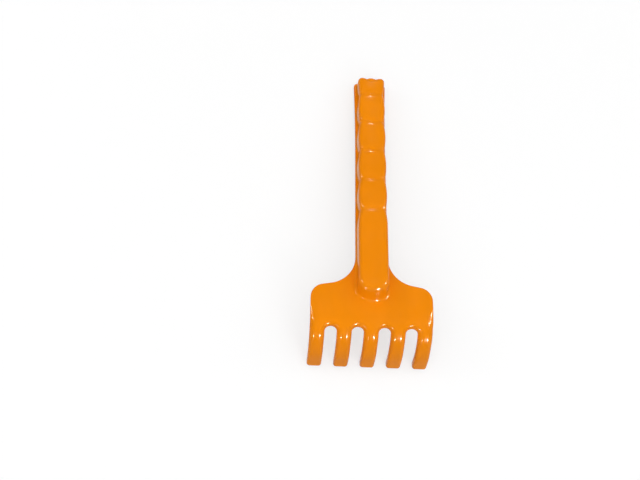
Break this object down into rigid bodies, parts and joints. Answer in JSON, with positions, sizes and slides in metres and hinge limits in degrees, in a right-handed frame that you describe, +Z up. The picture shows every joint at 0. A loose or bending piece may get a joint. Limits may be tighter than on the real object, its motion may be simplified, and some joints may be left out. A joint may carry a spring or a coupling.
{
  "type": "sand rake",
  "caption": "Child's moulded sand rake: hollow waved grip with a flat rim, flat shouldered head, and round-edged tines, hollow behind, that bend down from it.",
  "frame": {"origin": "on the ground under the middle of the rake's box, with the tine tips and the end of the handle standing on the ground", "axes": "+Y along the rake towards the end of the handle, +X across the head to the right seen from the tines' side, +Z up"},
  "size_m": [0.0914, 0.2356, 0.0416],
  "materials": {
    "moulding": "smooth glossy orange polypropylene, as moulded"
  },
  "bodies": {
    "root": {"grip": "moulding", "shank": "moulding", "cross_ribs": "moulding", "handle_rim": "moulding", "head_plate": "moulding", "tine_far_left": "moulding", "tine_left": "moulding", "tine_middle": "moulding", "tine_right": "moulding", "tine_far_right": "moulding"}
  },
  "joints": []
}
